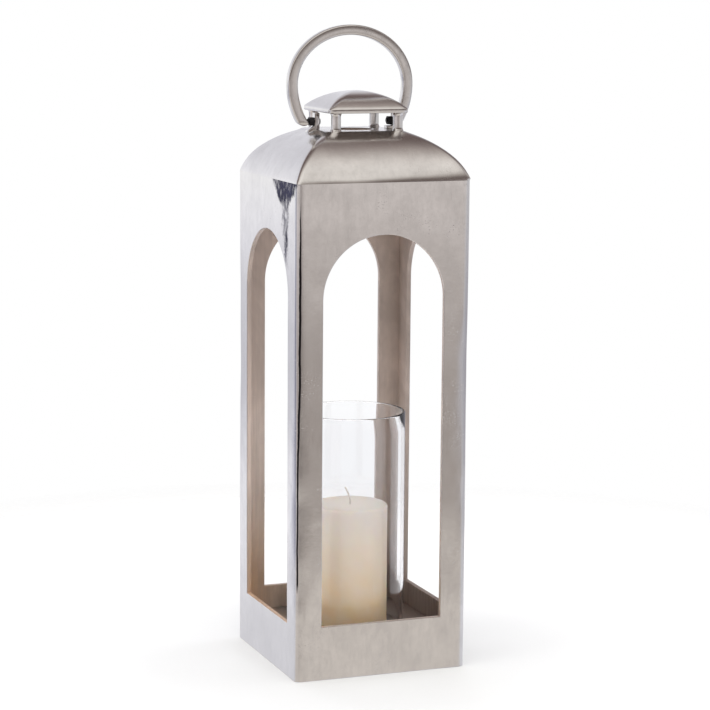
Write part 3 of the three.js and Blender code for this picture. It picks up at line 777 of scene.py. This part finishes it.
class LANTERN_OT_cap(bpy.types.Operator):
    """Build the domed cap over the smoke hole and the four posts that carry it"""
    bl_idname = "lantern.cap"
    bl_label = "Cap and posts"

    def execute(self, context):
        sizes = context.scene.lantern_sizes
        self.build_cap(sizes)
        for corner in ("front_left", "front_right", "back_right", "back_left"):
            self.build_post(corner)
        return {"FINISHED"}

    def build_cap(self, sizes):
        hip = sizes.hip_round
        rim_top = CAP_LOW.z + sizes.cap_rim
        rise = CAP_HIGH.z - rim_top
        sphere = (CAP_HALF ** 2 + rise ** 2) / (2 * rise)
        recess = 24.5 * MM
        lip = 0.9 * MM

        def dome(half, drop=0.0):
            return rim_top + rise - sphere + sqrt(sphere ** 2 - half ** 2) - drop

        def corner(half):
            return min(half, hip)

        top = [(half, dome(half), corner(half)) for half in spread(0.0, CAP_HALF - lip, 22)]
        rim = [(CAP_HALF - lip, dome(CAP_HALF - lip), hip), (CAP_HALF - 0.25 * lip, rim_top - 0.2 * lip, hip),
               (CAP_HALF, rim_top - lip, hip), (CAP_HALF, CAP_LOW.z + lip, hip),
               (CAP_HALF - 0.3 * lip, CAP_LOW.z + 0.3 * lip, hip), (CAP_HALF - lip, CAP_LOW.z, hip),
               (recess, CAP_LOW.z, hip)]
        vault = [(half, dome(half, 6 * MM), corner(half)) for half in reversed(spread(0.0, recess, 8))]
        bm = square_sweep(top + rim + vault, 18, 7, CROWN_X)
        for vert in bm.verts:
            dent = noise.noise(vert.co * 40.0) * 0.12 * MM
            if vert.normal.z > 0.2:
                vert.co.z -= 0.12 * MM + dent
        bm.normal_update()
        # Faces that turn downwards take the darker copy of the casting: painted shade under the cap.
        for face in bm.faces:
            face.material_index = int(face.normal.z < -0.5)
        add_piece(bm, "domed_cap", "tower",
                  [finish("polished_roof"), finish("painted_shade_cast_floor")], ["vent_cap"])

    def build_post(self, corner):
        node = f"cap_post_{corner}"
        low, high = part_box(node)
        foot = (high.x - low.x) / 2
        waist = foot - 0.8 * MM
        middle = (low + high) / 2
        rise = 3.0 * MM
        profile = [(0.0, low.z - MM), (foot, low.z - MM), (foot, ROOF_TOP)]
        profile += [(waist + (foot - waist) * (1 - k / 4) ** 2, ROOF_TOP + rise * k / 4) for k in range(1, 5)]
        profile += [(waist, high.z - rise - 1.5 * MM * k) for k in (4, 2, 0)]
        profile += [(waist + (foot - waist) * (k / 4) ** 2, high.z - rise + rise * k / 4)
                    for k in range(1, 5)]
        profile += [(foot - 0.4 * MM, high.z + 0.15 * MM), (0.0, high.z + 0.15 * MM)]
        bm = turned(profile, 32)
        bmesh.ops.translate(bm, verts=bm.verts, vec=(middle.x, middle.y, 0))
        for vert in bm.verts:
            if vert.co.z < ROOF_TOP - 0.5 * MM:
                vert.co.z = roof_height(vert.co.x, vert.co.y) - 0.2 * MM
        add_piece(bm, f"post_{corner}", "tower", [finish("bright_posts")], [node])


# ---------------------------------------------------------------- lugs, pivots and handle

def along_x(bm, x, z):
    """Lays a piece turned about Z along X, at a place over the middle line."""
    bmesh.ops.rotate(bm, verts=bm.verts, cent=(0, 0, 0), matrix=Matrix.Rotation(pi / 2, 3, "Y"))
    bmesh.ops.translate(bm, verts=bm.verts, vec=(x, 0, z))


class LANTERN_OT_pivots(bpy.types.Operator):
    """Build the two bent lugs, the pivot studs and their hexagonal nuts"""
    bl_idname = "lantern.pivots"
    bl_label = "Lugs and pivots"

    def execute(self, context):
        for side in ("left", "right"):
            self.build_lug(side)
            self.build_stud(side)
            self.build_nut(side)
        return {"FINISHED"}

    def build_lug(self, side):
        node = f"handle_lug_{side}"
        low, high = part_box(node)
        thick = 5 * MM
        plate = 3 * MM
        bend = 1.6 * MM
        left = high.x - thick
        foot = [(x, roof_height(x, 0) + 0.1 * MM) for x in spread(low.x, high.x, 8)]
        foot.append((high.x, roof_height(high.x, 0) + 0.1 * MM))
        head = [(high.x, high.z), (left, high.z)]
        inner_corner = [(left, ROOF_TOP + plate + bend), (left - 0.4 * bend, ROOF_TOP + plate + 0.3 * bend),
                        (left - bend, ROOF_TOP + plate)]
        toe = [(low.x, roof_height(low.x, 0) + plate)]
        bm = bmesh.new()
        add_outline(bm, [(x, low.y, z) for x, z in foot + head + inner_corner + toe])
        bmesh.ops.contextual_create(bm, geom=bm.edges[:])
        thicken(bm, bm.faces[:], (0, high.y - low.y, 0))
        close_up(bm)
        round_edges(bm, sharp_edges(bm, 40.0), 0.55 * MM, 3)
        add_piece(bm, f"bent_lug_{side}", "tower", [finish("bright_posts")], [node])

    def build_stud(self, side):
        node = f"pivot_stud_{side}"
        low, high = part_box(node)
        rod = 2.4 * MM
        collar = (high.z - low.z) / 2
        nip = 0.35 * MM
        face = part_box(f"handle_lug_{side}")[1].x + SEAM
        profile = [(0.0, low.x), (rod - nip, low.x), (rod, low.x + nip)]
        back = face + 0.9 * MM
        profile += [(rod, face), (collar - nip, face), (collar, face + nip)]
        profile += [(collar, back - nip), (collar - nip, back), (rod, back)]
        profile += [(rod, high.x - nip), (rod - nip, high.x), (0.0, high.x)]
        bm = turned(profile, 28)
        along_x(bm, 0, PIVOT_Z)
        add_piece(bm, f"stud_{side}", "tower", [finish("blackened_steel")], [node], 28.0)

    def build_nut(self, side):
        node = f"pivot_nut_{side}"
        low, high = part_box(node)
        bore = 2.6 * MM
        flats = (high.z - low.z) / 2
        bm = bmesh.new()
        hexagon = bmesh.ops.create_circle(bm, cap_ends=False, segments=6, radius=flats / cos(pi / 6))["verts"]
        outer = list({edge for vert in hexagon for edge in vert.link_edges})
        bmesh.ops.subdivide_edges(bm, edges=outer, cuts=3)
        outer = bm.edges[:]
        bmesh.ops.create_circle(bm, cap_ends=False, segments=24, radius=bore)
        inner = [edge for edge in bm.edges if edge not in set(outer)]
        bmesh.ops.bridge_loops(bm, edges=outer + inner)
        thicken(bm, bm.faces[:], (0, 0, high.x - low.x))
        close_up(bm)
        for vert in bm.verts:
            past = hypot(vert.co.x, vert.co.y) - flats * 0.98
            if past > 0:
                middle = (high.x - low.x) / 2
                lean = 1 if vert.co.z < middle else -1
                vert.co.z += lean * past * 0.6
        along_x(bm, low.x, PIVOT_Z)
        add_piece(bm, f"nut_{side}", "tower", [finish("blackened_steel")], [node], 28.0)


class LANTERN_OT_handle(bpy.types.Operator):
    """Build the oval ring handle"""
    bl_idname = "lantern.handle"
    bl_label = "Handle"

    def execute(self, context):
        sizes = context.scene.lantern_sizes
        bar = sizes.bar_thickness
        depth = RING_HIGH.y - RING_LOW.y
        reach = (RING_HIGH.x - RING_LOW.x) / 2
        middle_x = (RING_HIGH.x + RING_LOW.x) / 2
        crown = 58.4 * MM         # the oval's half height above its middle
        foot = 71.0 * MM          # and below it
        middle_z = RING_HIGH.z - crown
        ring_foot = PIVOT_Z - depth / 2
        droop = asin((middle_z - ring_foot + 0.4 * MM) / (foot - bar))
        bm = bmesh.new()
        section = bmesh.ops.create_grid(bm, x_segments=1, y_segments=1, size=0.5)["verts"]
        bmesh.ops.scale(bm, verts=section, vec=(bar, depth, 1.0))
        bmesh.ops.bevel(bm, geom=bm.verts[:], offset=sizes.bar_bevel, offset_type="OFFSET", segments=4,
                        profile=0.5, affect="VERTICES", material=-1)
        bmesh.ops.translate(bm, verts=bm.verts, vec=(1.0, 0, 0))
        bmesh.ops.rotate(bm, verts=bm.verts, cent=(0, 0, 0), matrix=Matrix.Rotation(droop, 3, "Y"))
        bmesh.ops.spin(bm, geom=bm.verts[:] + bm.edges[:] + bm.faces[:], cent=(0, 0, 0), axis=(0, -1, 0),
                       dvec=(0, 0, 0), angle=pi + 2 * droop, steps=150, use_duplicate=False)
        close_up(bm)
        for vert in bm.verts:
            angle = atan2(vert.co.z, vert.co.x)
            out = hypot(vert.co.x, vert.co.z) - 1.0 - bar / 2
            tall = crown if vert.co.z > 0 else foot
            vert.co.x = middle_x + (reach + out) * cos(angle)
            vert.co.z = middle_z + (tall + out) * sin(angle)
        self.trim_ends(bm, depth, ring_foot)
        slack = 0.02              # keeps the roughened bar inside its box
        for vert in bm.verts:
            rough = noise.noise(vert.co * 55.0) * 0.12 * MM
            vert.co.y *= 1 - slack - rough / depth
        add_piece(bm, "ring_handle", "handle", [finish("satin_handle")],
                  ["handle_ring"])
        return {"FINISHED"}

    def trim_ends(self, bm, depth, ring_foot):
        """Cuts the ends flat beside the lugs, level underneath, and round about the pivots."""
        face_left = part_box("pivot_stud_left")[0].x + 2.8 * MM
        face_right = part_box("pivot_stud_right")[1].x - 3.1 * MM
        low_part = PIVOT_Z + 18 * MM
        cuts = [((face_left, 0, 0), (1, 0, 0), lambda x: x < 0),
                ((face_right, 0, 0), (-1, 0, 0), lambda x: x > 0),
                ((0, 0, ring_foot), (0, 0, -1), lambda x: True)]
        for place, direction, own_side in cuts:
            faces = [face for face in bm.faces
                     if face.calc_center_median().z < low_part and own_side(face.calc_center_median().x)]
            slice_faces(bm, faces, place, direction, clear=True)
            gaps = [edge for edge in bm.edges if edge.is_boundary]
            bmesh.ops.holes_fill(bm, edges=gaps, sides=0)
        for level in (0.0, 0.35, 0.62, 0.82, 0.94):
            low = [face for face in bm.faces if face.calc_center_median().z < PIVOT_Z + depth]
            slice_faces(bm, low, (0, 0, PIVOT_Z - level * depth / 2), (0, 0, 1))
        close_up(bm)
        for vert in bm.verts:
            under = (PIVOT_Z - vert.co.z) / (depth / 2)
            if under > 0:
                slim = sqrt(max(0.0, 1 - min(1.0, under) ** 2))
                middle = face_left - 4.2 * MM if vert.co.x < 0 else face_right + 2.4 * MM
                vert.co.y *= max(0.12, slim)
                vert.co.x = middle + (vert.co.x - middle) * max(0.3, slim)


# ---------------------------------------------------------------- floor, glass and candle

class LANTERN_OT_floor(bpy.types.Operator):
    """Build the cast floor plate and finish the cleats and screws that hold it"""
    bl_idname = "lantern.floor"
    bl_label = "Floor"

    def execute(self, context):
        bm = bmesh.new()
        half = (FLOOR_HIGH.x - FLOOR_LOW.x) / 2
        plate = bmesh.ops.create_grid(bm, x_segments=44, y_segments=44, size=half)
        bmesh.ops.translate(bm, verts=plate["verts"], vec=(0, 0, FLOOR_HIGH.z))
        thicken(bm, bm.faces[:], (0, 0, FLOOR_LOW.z - FLOOR_HIGH.z))
        close_up(bm)
        round_edges(bm, sharp_edges(bm), 0.7 * MM, 2)
        for vert in bm.verts:
            if vert.co.z > FLOOR_HIGH.z - 0.1 * MM:
                vert.co.z -= (0.3 + 0.3 * noise.noise(vert.co * 45.0)) * MM
        # The floor plate and the cleats take the darker copy of the casting: painted shade inside the
        # lantern.
        add_piece(bm, "cast_floor_plate", "tower", [finish("painted_shade_cast_floor")], ["floor_plate"])
        for name, node in frame["nodes"].items():
            if "cleat" in name or "screw" in name:
                own = "painted_shade_cast_floor" if "cleat" in name else "zinc_plate"
                node.data.materials.clear()
                node.data.materials.append(finish(own))
        return {"FINISHED"}


class LANTERN_OT_glass(bpy.types.Operator):
    """Build the open glass cylinder"""
    bl_idname = "lantern.glass"
    bl_label = "Glass"

    def execute(self, context):
        wall = context.scene.lantern_sizes.glass_wall
        outer = GLASS_HIGH.x
        low, high = GLASS_LOW.z, GLASS_HIGH.z
        middle = outer - wall / 2
        profile = round_corner((middle, low + wall / 2), wall / 2, -180, 0, 8)
        profile += [(outer, low + (high - low) * k / 12) for k in range(1, 12)]
        profile += round_corner((middle, high - wall / 2), wall / 2, 0, 180, 8)
        profile += [(outer - wall, high + (low - high) * k / 12) for k in range(1, 12)]
        bm = turned(profile + profile[:1], 144)
        add_piece(bm, "hurricane_glass", "glass",
                  [clear_glass(context.scene.lantern_finishes.glass)], ["glass_hurricane"])
        return {"FINISHED"}


class LANTERN_OT_candle(bpy.types.Operator):
    """Build the pillar candle and its wick"""
    bl_idname = "lantern.candle"
    bl_label = "Candle"

    def execute(self, context):
        finishes = context.scene.lantern_finishes
        self.build_candle(context.scene.lantern_sizes, ivory_wax(finishes.wax, finishes.wax_foot))
        self.build_wick(waxed_cotton(finishes.cotton))
        return {"FINISHED"}

    def build_candle(self, sizes, material):
        radius = CANDLE_HIGH.x
        low, high = CANDLE_LOW.z, CANDLE_HIGH.z
        edge = sizes.candle_round
        bore = 1.4 * MM
        profile = [(bore, low), (radius - 1.2 * MM, low), (radius, low + 1.2 * MM)]
        profile += [(radius, low + (high - edge - low) * k / 24) for k in range(1, 24)]
        profile += round_corner((radius - edge, high - edge), edge, 0, 90, 5)
        dish = spread(radius - edge, bore, 16)[1:] + [bore]
        sag, wick_pit = 0.55 * MM, 0.5 * MM
        profile += [(r, high - sag * (1 - (r / radius) ** 2) - (wick_pit if r < 3 * MM else 0)) for r in dish]
        bm = turned(profile + profile[:1], 96)
        for vert in bm.verts:
            out = hypot(vert.co.x, vert.co.y)
            if out > radius * 0.5:
                dent = (0.12 + 0.12 * noise.noise(vert.co * 38.0)) * MM
                vert.co.x -= vert.co.x / out * dent
                vert.co.y -= vert.co.y / out * dent
        add_piece(bm, "pillar_candle", "candle", [material], ["candle"])

    def build_wick(self, material):
        radius = 0.93 * MM
        low, high = WICK_LOW.z, WICK_HIGH.z - 0.6 * MM
        bend_from = CANDLE_HIGH.z
        lean = WICK_LOW.x + 0.9 * MM
        bm = bmesh.new()
        bmesh.ops.create_cone(bm, cap_ends=True, cap_tris=False, segments=18,
                              radius1=1.0, radius2=1.0, depth=1.0)
        sides = [edge for edge in bm.edges if abs(edge.verts[0].co.z - edge.verts[1].co.z) > 0.5]
        bmesh.ops.subdivide_edges(bm, edges=sides, cuts=150, use_grid_fill=True)
        for vert in bm.verts:
            height = low + (high - low) * (vert.co.z + 0.5)
            round_about = atan2(vert.co.y, vert.co.x)
            strand = 1 - 0.16 * abs(sin(1.5 * (round_about + height * 900.0)))
            fray = 1 + 0.10 * max(0.0, (height - high + 2 * MM) / (2 * MM))
            size = radius * strand * fray * hypot(vert.co.x, vert.co.y)
            rise = max(0.0, (height - bend_from) / (high - bend_from))
            vert.co = (size * cos(round_about) + lean * rise ** 1.8, size * sin(round_about), height)
        close_up(bm)
        add_piece(bm, "cotton_strand", "candle", [material], ["wick"])


# ---------------------------------------------------------------- stage

# How much of the surround's light is left by bearing, in turns from behind by way of the right.
ROUND_ABOUT = [
    (0.000, (1.00, 1.00, 1.00)),
    (0.060, (0.62, 0.61, 0.62)),
    (0.400, (0.62, 0.61, 0.62)),
    (0.425, (1.00, 1.00, 1.00)),
    (0.450, (1.00, 1.00, 1.00)),
    (0.458, (0.86, 0.85, 0.85)),
    (0.470, (0.66, 0.65, 0.65)),
    (0.500, (0.62, 0.61, 0.61)),
    (0.590, (0.70, 0.69, 0.70)),
    (0.640, (1.05, 1.05, 1.08)),
    (0.780, (1.05, 1.05, 1.08)),
    (0.830, (0.60, 0.60, 0.64)),
    (0.880, (0.34, 0.34, 0.40)),
    (0.912, (0.30, 0.30, 0.37)),
    (0.924, (0.55, 0.55, 0.63)),
    (0.933, (0.92, 0.93, 0.98)),
    (0.939, (1.08, 1.08, 1.08)),
    (0.948, (1.00, 1.00, 1.00)),
    (1.000, (0.92, 0.92, 0.92)),
]
# The surround in front, and behind, from well below the horizon up to it.
IN_FRONT = [
    (0.00, (0.66, 0.61, 0.57)),
    (0.23, (0.66, 0.61, 0.57)),
    (0.275, (0.29, 0.252, 0.235)),
    (0.40, (0.35, 0.31, 0.29)),
    (0.54, (0.44, 0.40, 0.38)),
    (0.70, (0.67, 0.62, 0.605)),
    (0.85, (0.73, 0.68, 0.66)),
    (1.00, (0.60, 0.56, 0.54)),
]
BEHIND = [
    (0.00, (0.70, 0.70, 0.75)),
    (0.12, (0.72, 0.72, 0.77)),
    (0.24, (0.92, 0.92, 0.97)),
    (0.33, (0.88, 0.88, 0.94)),
    (0.43, (0.62, 0.62, 0.68)),
    (0.56, (0.66, 0.66, 0.72)),
    (0.66, (0.90, 0.90, 0.96)),
    (0.76, (1.00, 1.00, 1.00)),
    (1.00, (1.00, 1.00, 1.00)),
]
# The surround over the top, in half turns from the front horizon to the one behind.
OVER_THE_TOP = [
    (0.00, (0.30, 0.26, 0.24)),
    (0.03, (0.14, 0.11, 0.10)),
    (0.11, (0.15, 0.12, 0.11)),
    (0.17, (0.42, 0.38, 0.35)),
    (0.24, (0.80, 0.76, 0.72)),
    (0.33, (0.88, 0.84, 0.80)),
    (0.42, (0.82, 0.77, 0.73)),
    (0.49, (0.56, 0.51, 0.48)),
    (0.56, (0.34, 0.29, 0.27)),
    (0.62, (0.20, 0.16, 0.15)),
    (0.69, (0.12, 0.085, 0.08)),
    (0.75, (0.20, 0.155, 0.155)),
    (0.81, (0.60, 0.57, 0.59)),
    (0.88, (0.70, 0.70, 0.76)),
    (0.96, (0.93, 0.93, 0.98)),
    (1.00, (0.97, 0.97, 1.00)),
]


class LANTERN_OT_stage(bpy.types.Operator):
    """Set the pale floor, the soft studio light and the camera"""
    bl_idname = "lantern.stage"
    bl_label = "Stage"

    def execute(self, context):
        stage = context.scene.lantern_stage
        context.scene.view_settings.view_transform = "Standard"
        self.lay_floor(stage)
        self.light_studio(stage)
        self.paint_surround(context.scene, stage)
        self.set_camera(context.scene, stage)
        return {"FINISHED"}

    def lay_floor(self, stage):
        bm = bmesh.new()
        bmesh.ops.create_circle(bm, cap_ends=True, segments=96, radius=stage.floor_radius)
        bmesh.ops.translate(bm, verts=bm.verts, vec=(0, 0, -0.3 * MM))
        mesh = bpy.data.meshes.new("studio_floor")
        bm.to_mesh(mesh)
        bm.free()
        floor = bpy.data.objects.new("studio_floor", mesh)
        mesh.materials.append(pale_floor(stage.floor_radius))
        floor.visible_glossy = False
        bpy.context.scene.collection.objects.link(floor)

    def light_studio(self, stage):
        lights = {
            "overhead_softbox": ((0.10, 0.35, 1.9), stage.key_power, 1.5),
            "left_softbox": ((-1.9, 0.3, 0.9), stage.fill_power, 1.1),
            "right_softbox": ((1.9, 0.2, 0.9), stage.fill_power, 1.1),
            "front_softbox": ((-0.2, -2.2, 1.3), stage.fill_power, 1.3),
        }
        for name, (place, power, size) in lights.items():
            lamp = bpy.data.lights.new(name, "AREA")
            lamp.energy = power
            lamp.size = size
            box = bpy.data.objects.new(name, lamp)
            box.location = place
            box.rotation_mode = "QUATERNION"
            box.rotation_quaternion = (Vector((0, 0, 0.15)) - Vector(place)).to_track_quat("-Z", "Y")
            box.visible_glossy = False
            box.visible_transmission = False
            bpy.context.scene.collection.objects.link(box)

    def paint_surround(self, scene, stage):
        """Bright and dark walls round the set; behind the object, and through the glass, is plain white."""
        world = bpy.data.worlds.new("studio_surround")
        scene.world = world
        world.use_nodes = True
        graph = Graph(world.node_tree)
        x, y, z = graph.axes("XYZ", "Generated")
        bearing = x.math("ARCTAN2", 0 - x, 0 - y) / tau + 0.5
        climb = x.math("ARCTAN2", z, 0 - y) / pi
        below = z.between(-0.30, 0.0)
        kept = graph.ramp(ROUND_ABOUT, bearing)
        front = graph.ramp(IN_FRONT, below)
        behind = graph.ramp(BEHIND, below)
        above = graph.ramp(OVER_THE_TOP, climb)
        facing = bearing.between(0.408, 0.424)
        ahead = facing * (1 - bearing.between(0.75, 0.85))
        low_walls = graph.blend(ahead, behind, front)
        level = graph.add("ShaderNodeMix", {"data_type": "RGBA", "blend_type": "MULTIPLY"},
                          {0: z.between(-0.246, -0.236), 6: low_walls, 7: kept}, out=2)
        right_wall = graph.blend(x.between(0.372, 0.46) * 0.6, above, (0.16, 0.13, 0.13, 1))
        seen = graph.blend(z.between(-0.01, 0.07), level, right_wall)
        bounced = graph.add("ShaderNodeLightPath", out="Diffuse Depth").between(0.0, 1.0)
        studio = graph.add("ShaderNodeBackground", {},
                           {"Color": seen, "Strength": stage.surround + bounced * 1.3})
        paper = graph.add("ShaderNodeBackground", {},
                          {"Color": (1, 1, 1, 1), "Strength": 1.0 + bounced * 1.2})
        direct = graph.add("ShaderNodeLightPath", out="Is Camera Ray")
        direct = direct.math("MAXIMUM", direct, graph.add("ShaderNodeLightPath", out="Is Transmission Ray"))
        mixed = graph.add("ShaderNodeMixShader", {}, {0: direct, 1: studio, 2: paper})
        graph.add("ShaderNodeOutputWorld", {}, {"Surface": mixed})

    def set_camera(self, scene, stage):
        bearing, climb, roll = radians(-20.805), radians(8.898), radians(0.44)
        target = Vector((0.00402, 0.0, 0.30741))
        distance = 2.457
        back = Vector((sin(bearing) * cos(climb), -cos(bearing) * cos(climb), sin(climb)))
        across = Vector((cos(bearing), sin(bearing), 0))
        upward = back.cross(across)
        right = across * cos(roll) + upward * sin(roll)
        up = upward * cos(roll) - across * sin(roll)
        data = bpy.data.cameras.new("studio_camera")
        data.lens = stage.lens
        data.sensor_width = 36.0
        camera = bpy.data.objects.new("studio_camera", data)
        turn = Matrix((right, up, back)).transposed().to_4x4()
        camera.matrix_world = Matrix.Translation(target + back * distance) @ turn
        scene.collection.objects.link(camera)
        scene.camera = camera


# ---------------------------------------------------------------- add-on

STEPS = (LANTERN_OT_stage, LANTERN_OT_panels, LANTERN_OT_roof, LANTERN_OT_cap, LANTERN_OT_pivots,
         LANTERN_OT_handle, LANTERN_OT_floor, LANTERN_OT_glass, LANTERN_OT_candle)


class LANTERN_PT_panel(bpy.types.Panel):
    """The lantern's steps, sizes and colours"""
    bl_idname = "LANTERN_PT_panel"
    bl_label = "Candle Lantern"
    bl_space_type = "VIEW_3D"
    bl_region_type = "UI"
    bl_category = "Lantern"

    def draw(self, context):
        for step in STEPS:
            self.layout.operator(step.bl_idname)
        for group in (getattr(context.scene, name) for name in GROUPS):
            box = self.layout.box()
            for name in group.__annotations__:
                box.prop(group, name)


GROUPS = {"lantern_sizes": LanternSizes, "lantern_finishes": LanternFinishes, "lantern_stage": LanternStage}


def register():
    for group in (*GROUPS.values(), *STEPS, LANTERN_PT_panel):
        bpy.utils.register_class(group)
    for name, group in GROUPS.items():
        setattr(bpy.types.Scene, name, bpy.props.PointerProperty(type=group))


def unregister():
    for name in GROUPS:
        delattr(bpy.types.Scene, name)
    for group in reversed((*GROUPS.values(), *STEPS, LANTERN_PT_panel)):
        bpy.utils.unregister_class(group)


def main():
    register()
    bpy.ops.lantern.stage()
    bpy.ops.lantern.panels()
    bpy.ops.lantern.roof()
    bpy.ops.lantern.cap()
    bpy.ops.lantern.pivots()
    bpy.ops.lantern.handle()
    bpy.ops.lantern.floor()
    bpy.ops.lantern.glass()
    bpy.ops.lantern.candle()


if __name__ == "__main__":
    main()
